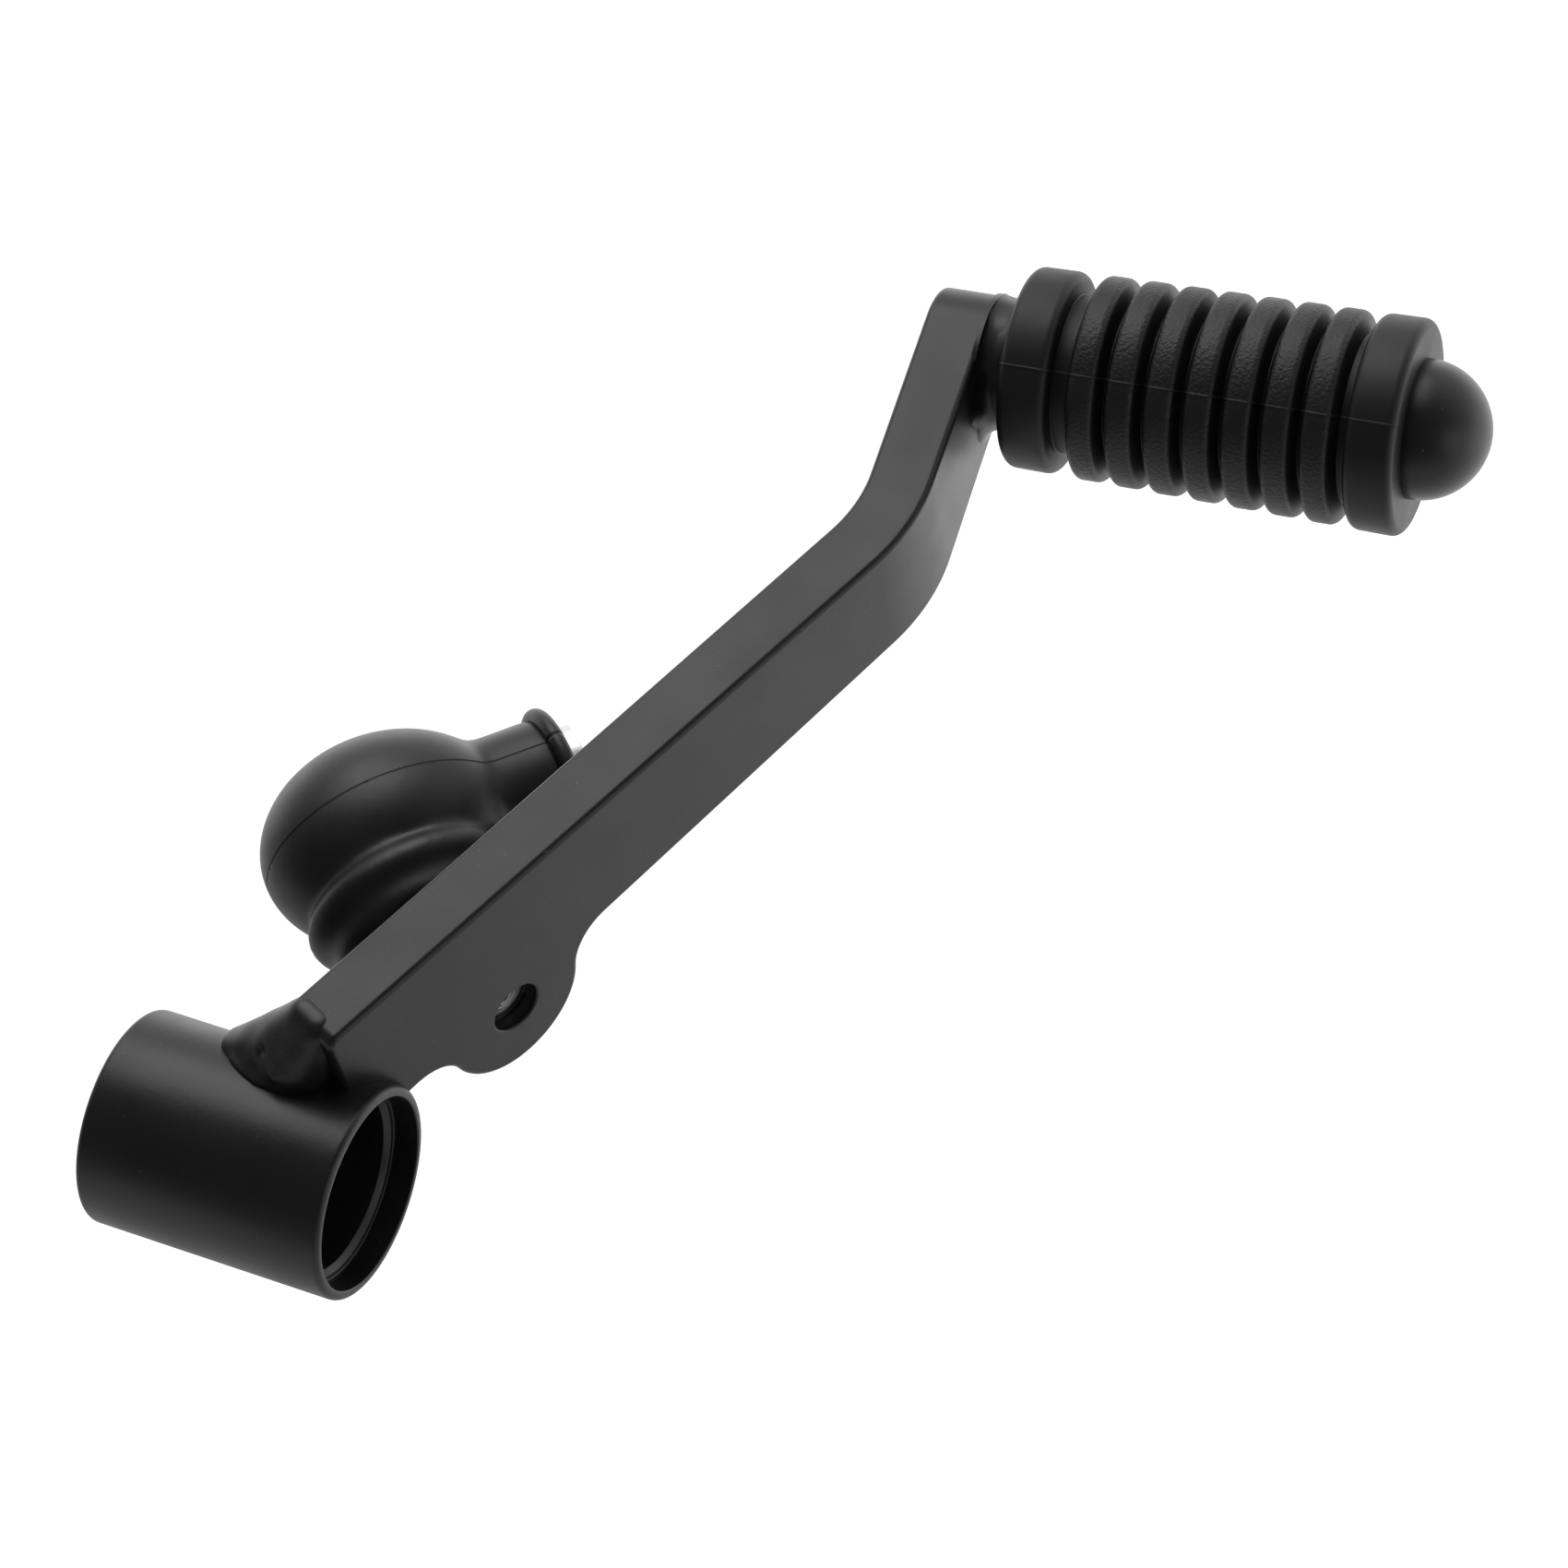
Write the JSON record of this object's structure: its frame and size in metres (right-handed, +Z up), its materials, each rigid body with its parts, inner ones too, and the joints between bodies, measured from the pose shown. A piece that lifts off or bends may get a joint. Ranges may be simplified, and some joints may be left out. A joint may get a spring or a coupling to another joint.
{
  "type": "motorcycle gear shift lever",
  "caption": "Cranked steel gear shift lever with a cross bore at the pivot, a ribbed rubber toe piece and a booted ball joint for the shift rod.",
  "frame": {"origin": "centre of the pivot bore, half way along the tube", "axes": "The bore runs along Y, with the foot on the -Y side. The arm runs forward along +X and is cranked outboard. +Z is up, away from the lug."},
  "size_m": [0.1198, 0.0943, 0.0315],
  "materials": {
    "black_coating": "satin black coating",
    "toe_rubber": "matte black rubber, pebbled on the crowns",
    "boot_rubber": "smooth black moulded rubber",
    "zinc_plate": "bright zinc plate"
  },
  "bodies": {
    "lever": {"pivot_tube": "black_coating", "lever_arm": "black_coating", "tube_weld": "black_coating", "toe_peg": "black_coating", "peg_weld": "black_coating", "toe_rubber": "toe_rubber", "ball_stud": "zinc_plate"},
    "boot": {"joint_boot": "boot_rubber"},
    "socket": {"ball_socket": "zinc_plate", "safety_clip": "zinc_plate"}
  },
  "joints": [
    {"name": "joint_swivel", "type": "hinge", "parent": "lever", "child": "boot", "pos_m": [0.03096, 0.00615, -0.0001], "axis": [0.3746, 0.9272, 0], "range_deg": [-90, 90]},
    {"name": "joint_tilt", "type": "hinge", "parent": "boot", "child": "socket", "pos_m": [0.03096, 0.00615, -0.0001], "axis": [0, 0, 1], "range_deg": [0, 36], "deforming": ["joint_boot"]}
  ]
}
